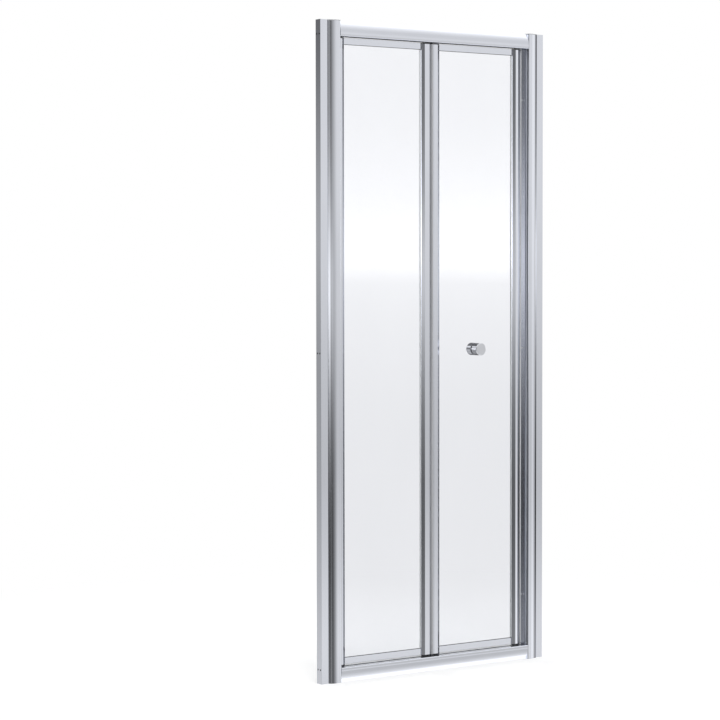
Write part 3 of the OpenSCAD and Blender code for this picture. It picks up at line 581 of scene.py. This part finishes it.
def paleFloor():
    clearSelection()
    bpy.ops.mesh.primitive_plane_add(size=floorLook["side"], location=(0, 0, 0))
    floor = bpy.context.active_object
    floor.name = "floor"
    material, tree, shader = startMaterial("pale floor")
    tree.nodes.remove(shader)
    body = addNode(tree, "BsdfDiffuse", Color=floorLook["colour"])
    glow = addNode(tree, "Emission", Color=(1, 1, 1, 1))
    white = addNode(tree, "Emission", Color=(1, 1, 1, 1), Strength=1.0)
    path = addNode(tree, "LightPath")
    place = addNode(tree, "TexCoord")
    away = tree.nodes.new("ShaderNodeVectorMath")
    away.operation = "LENGTH"
    tree.links.new(place.outputs["Object"], away.inputs[0])
    reach = addNode(tree, "MapRange", From_Min=floorLook["near"], From_Max=floorLook["far"])
    reach.interpolation_type = "SMOOTHSTEP"
    tree.links.new(away.outputs["Value"], reach.inputs["Value"])
    seen = combine(tree, "MAXIMUM", path.outputs["Is Camera Ray"], path.outputs["Is Glossy Ray"])
    seen = combine(tree, "MAXIMUM", seen, path.outputs["Is Transmission Ray"])
    tree.links.new(combine(tree, "MULTIPLY", seen, floorLook["nearGlow"]), glow.inputs["Strength"])
    near = addNode(tree, "AddShader")
    tree.links.new(body.outputs[0], near.inputs[0])
    tree.links.new(glow.outputs[0], near.inputs[1])
    gone = addNode(tree, "BsdfTransparent")
    offMetal = combine(tree, "GREATER_THAN", path.outputs["Glossy Depth"], onceMirrored)
    surface = near.outputs[0]
    farAway = combine(tree, "MULTIPLY", seen, reach.outputs["Result"])
    for share, layer in ((farAway, white), (offMetal, gone)):
        mix = addNode(tree, "MixShader")
        tree.links.new(share, mix.inputs[0])
        tree.links.new(surface, mix.inputs[1])
        tree.links.new(layer.outputs[0], mix.inputs[2])
        surface = mix.outputs[0]
    tree.links.new(surface, tree.nodes["Material Output"].inputs["Surface"])
    giveMaterial(floor, material)
    floor.visible_glossy = False  # polished metal sees the studio's bright floor below instead
    floor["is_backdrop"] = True


# Brightness of the studio by elevation in degrees, and each part's share by azimuth, which is 0 straight
# in front of the door and plus to its right. Metal mirrors the first five parts, and a second mirroring
# sees the panes alone. The door's own glass mirrors inGlass, and all else is lit by the ambient light.
studio = {
    "window": [
        (-60, 1.1), (-45, 1.1), (-35, 0.8), (-20, 0.3), (-9, 0.1), (-7, 0.05), (-5.5, 0.08),
        (-3.5, 0.27), (-1.5, 0.85), (-0.5, 1.13), (0.5, 0.8), (1.5, 0.54), (3.5, 0.29), (5.5, 0.25),
        (20, 0.22), (32, 0.8), (42, 1.15)
    ],
    "panes": [
        (-60, 1.1), (-35, 1.0), (-20, 0.6), (-12, 0.4), (-9.2, 0.36), (-8.2, 0.21), (-7.3, 0.1),
        (-6.3, 0.06), (-5.3, 0.055), (-4.4, 0.09), (-3.4, 0.16), (-2.4, 0.3), (-1.4, 0.54),
        (-0.5, 0.88), (0.5, 1.0), (1.5, 0.62), (2.4, 0.38), (3.4, 0.24), (4.4, 0.17), (20, 0.2),
        (32, 0.8), (42, 1.15)
    ],
    "frontHigh": [
        (-5, 0), (-2.4, 0.47), (-0.5, 0.69), (2, 0.74), (5.5, 0.76), (11, 0.69), (20, 0.69),
        (28, 0.8), (36, 1.0), (42, 1.15)
    ],
    "frontLow": [
        (-60, 1.15), (-50, 1.15), (-41, 1.0), (-32, 0.72), (-22, 0.56), (-12, 0.54), (-9.2, 0.78),
        (-8.2, 0.71), (-7.2, 0.63), (-5, 0.52), (-2.4, 0.13), (-0.5, 0)
    ],
    "rear": [
        (-75, 0.06), (-60, 0.15), (-48, 0.3), (-40, 0.55), (-30, 0.4), (-22, 0.55), (-15, 0.56),
        (-10.5, 0.66), (-7, 0.46), (-5, 0.37), (-2.4, 0.34), (-0.5, 0.38), (0.5, 0.43), (1.5, 0.39),
        (3.5, 0.27), (5.5, 0.15), (12, 0.1), (17, 0.9), (24, 1.1), (30, 0.9), (34, 0.15), (56, 0.1)
    ],
    "windowShare": [
        (-180, 0), (-40, 0), (-33, 0.9), (-28, 1.17), (-22, 1.1), (-19.5, 0.9), (-18, 0.3),
        (-14, 0.25), (-12, 0.5), (-9, 0.55), (-3, 0.28), (4, 0.12), (11, 0)
    ],
    "panesShare": [
        (-180, 0), (-120, 0), (-75, 0.8), (-50, 1), (-44, 1), (-38, 0.4), (-33, 0), (-19.5, 0),
        (-18, 0.4), (-14, 0.4), (-12, 0), (82, 0), (87, 0.95), (130, 0.9), (150, 0)
    ],
    "frontHighShare": [
        (-180, 0), (-13, 0), (-9, 0.17), (-3, 0.38), (4, 0.6), (11, 0.79), (17, 0.92), (24, 0.99),
        (32, 1.02), (37, 1.0), (47, 1.03), (52, 1.2), (61, 1.2), (72, 1.12), (80, 0.95), (84, 0.1),
        (86, 0)
    ],
    "frontLowShare": [
        (-180, 0), (-22, 0), (-18, 0.1), (-14, 0.1), (-9, 0.04), (-3, 0.17), (4, 0.37), (11, 0.58),
        (17, 0.84), (24, 1.03), (32, 1.08), (37, 1.02), (47, 1.06), (52, 1.36), (61, 1.24),
        (72, 0.92), (80, 0.8), (84, 0.1), (86, 0)
    ],
    "rearShare": [(-180, 1), (-120, 1), (-80, 0), (135, 0), (150, 0.2), (180, 1)],
    "inGlass": [
        (-60, 0.25), (-36, 0.3), (-18, 0.32), (-14, 0.5), (-9.5, 0.5), (-8.2, 0.35), (-7.3, 0.3),
        (-6.3, 0.25), (-4.4, 0.25), (-3.4, 0.35), (-2.4, 0.6), (-1.4, 0.9), (-0.5, 1.3),
        (-0.15, 2.0), (0.05, 3.4), (0.5, 3.2), (1.5, 2.5), (2.4, 2.0), (3.4, 1.55), (4.4, 1.4),
        (8.5, 1.4), (9.5, 0.12), (13, 0.12), (17, 0.95), (30, 1.0), (32.5, 0.12), (60, 0.12)
    ],
    "inGlassShare": [(-180, 1), (140, 1), (150, 0.3), (172, 0.3), (180, 1)],
    "ambient": 0.62,
}


def brightnessRamp(tree, source, low, high, stops, place=float):
    placed = addNode(tree, "MapRange", From_Min=low, From_Max=high)
    ramp = addNode(tree, "ValToRGB")
    spots = ramp.color_ramp.elements
    for number, (where, brightness) in enumerate(stops):
        position = (place(where) - low) / (high - low)
        if number < 2:
            spots[number].position = position
        stop = spots[number] if number < 2 else spots.new(position)
        stop.color = (brightness,) * 3 + (1,)
    tree.links.new(source, placed.inputs["Value"])
    tree.links.new(placed.outputs["Result"], ramp.inputs["Fac"])
    return ramp.outputs["Color"]


def studioWorld():
    world = bpy.data.worlds.new("studio")
    bpy.context.scene.world = world
    world.use_nodes = True
    tree = world.node_tree
    tree.nodes.clear()
    place = addNode(tree, "TexCoord")
    split = addNode(tree, "SeparateXYZ")
    tree.links.new(place.outputs["Generated"], split.inputs[0])
    ahead = combine(tree, "MULTIPLY", split.outputs["Y"], -1)
    azimuth = combine(tree, "DEGREES", combine(tree, "ARCTAN2", split.outputs["X"], ahead))
    height = split.outputs["Z"]

    def byHeight(stops):
        return brightnessRamp(tree, height, -1, 1, stops, lambda degrees: math.sin(math.radians(degrees)))

    room = 0
    for side in ("window", "panes", "frontHigh", "frontLow", "rear"):
        share = brightnessRamp(tree, azimuth, -180, 180, studio[side + "Share"])
        part = combine(tree, "MULTIPLY", byHeight(studio[side]), share)
        room = combine(tree, "ADD", part, room)
    path = addNode(tree, "LightPath")
    mirrored = path.outputs["Glossy Depth"]
    offMetal = combine(tree, "GREATER_THAN", mirrored, onceMirrored)  # also when seen on through glass
    fromNook = combine(tree, "GREATER_THAN", mirrored, twiceMirrored)  # by way of a second profile
    inPane = combine(tree, "MULTIPLY", path.outputs["Is Glossy Ray"], path.outputs["Is Singular Ray"])
    inPane = combine(tree, "MULTIPLY", inPane, combine(tree, "LESS_THAN", mirrored, twiceMirrored))
    seen = combine(tree, "MAXIMUM", path.outputs["Is Camera Ray"], path.outputs["Is Transmission Ray"])
    seen = combine(tree, "MULTIPLY", seen, combine(tree, "LESS_THAN", mirrored, onceMirrored))
    plain = addNode(tree, "Background", Color=(1, 1, 1, 1), Strength=studio["ambient"])
    metal = addNode(tree, "Background", Color=(1, 1, 1, 1))
    nook = addNode(tree, "Background", Color=(1, 1, 1, 1))
    glass = addNode(tree, "Background", Color=(1, 1, 1, 1))
    white = addNode(tree, "Background", Color=(1, 1, 1, 1), Strength=1.0)
    tree.links.new(room, metal.inputs["Strength"])
    tree.links.new(byHeight(studio["panes"]), nook.inputs["Strength"])
    share = brightnessRamp(tree, azimuth, -180, 180, studio["inGlassShare"])
    tree.links.new(combine(tree, "MULTIPLY", byHeight(studio["inGlass"]), share), glass.inputs["Strength"])
    surface = plain.outputs[0]
    for share, light in ((offMetal, metal), (fromNook, nook), (inPane, glass), (seen, white)):
        mix = addNode(tree, "MixShader")
        tree.links.new(share, mix.inputs[0])
        tree.links.new(surface, mix.inputs[1])
        tree.links.new(light.outputs[0], mix.inputs[2])
        surface = mix.outputs[0]
    output = addNode(tree, "OutputWorld")
    tree.links.new(surface, output.inputs["Surface"])


lamps = [
    {"name": "key", "place": (-2.4, -3.2, 3.4), "side": 2.4, "watts": 90},
    {"name": "fill", "place": (3.0, -2.2, 2.6), "side": 2.4, "watts": 40},
    {"name": "back", "place": (0.4, 3.4, 3.2), "side": 2.4, "watts": 45},
]
lampAim = (0, 0, 0.8)


def addLamps():
    for spec in lamps:
        light = bpy.data.lights.new(spec["name"], "AREA")
        light.shape = "SQUARE"
        light.size = spec["side"]
        light.energy = spec["watts"]
        lamp = bpy.data.objects.new(spec["name"], light)
        bpy.context.scene.collection.objects.link(lamp)
        lamp.location = spec["place"]
        aim = Vector(lampAim) - lamp.location
        lamp.rotation_mode = "QUATERNION"
        lamp.rotation_quaternion = aim.to_track_quat("-Z", "Y")
        lamp.visible_camera = False
        lamp.visible_glossy = False
        lamp.visible_transmission = False


cameraView = {"place": (-4.101, -5.381, 1.169), "yaw": 35.53, "pitch": 2.30, "roll": -0.08,
              "lens": 117.5, "sensor": 36, "clip": (0.1, 100)}


def addCamera():
    yaw, pitch, roll = (math.radians(cameraView[key]) for key in ("yaw", "pitch", "roll"))
    ahead = Vector((math.sin(yaw) * math.cos(pitch), math.cos(yaw) * math.cos(pitch), -math.sin(pitch)))
    right = ahead.cross(Vector((0, 0, 1))).normalized()
    up = right.cross(ahead)
    rightRolled = right * math.cos(roll) + up * math.sin(roll)
    upRolled = up * math.cos(roll) - right * math.sin(roll)
    data = bpy.data.cameras.new("camera")
    data.lens = cameraView["lens"]
    data.sensor_width = cameraView["sensor"]
    data.clip_start, data.clip_end = cameraView["clip"]
    camera = bpy.data.objects.new("camera", data)
    bpy.context.scene.collection.objects.link(camera)
    turned = Matrix((rightRolled, upRolled, -ahead)).transposed().to_4x4()
    camera.matrix_world = Matrix.Translation(cameraView["place"]) @ turned
    bpy.context.scene.camera = camera


paleFloor()
studioWorld()
addLamps()
addCamera()
bpy.context.scene.view_settings.view_transform = "Standard"
print("stage, light and camera ready")

low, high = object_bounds()
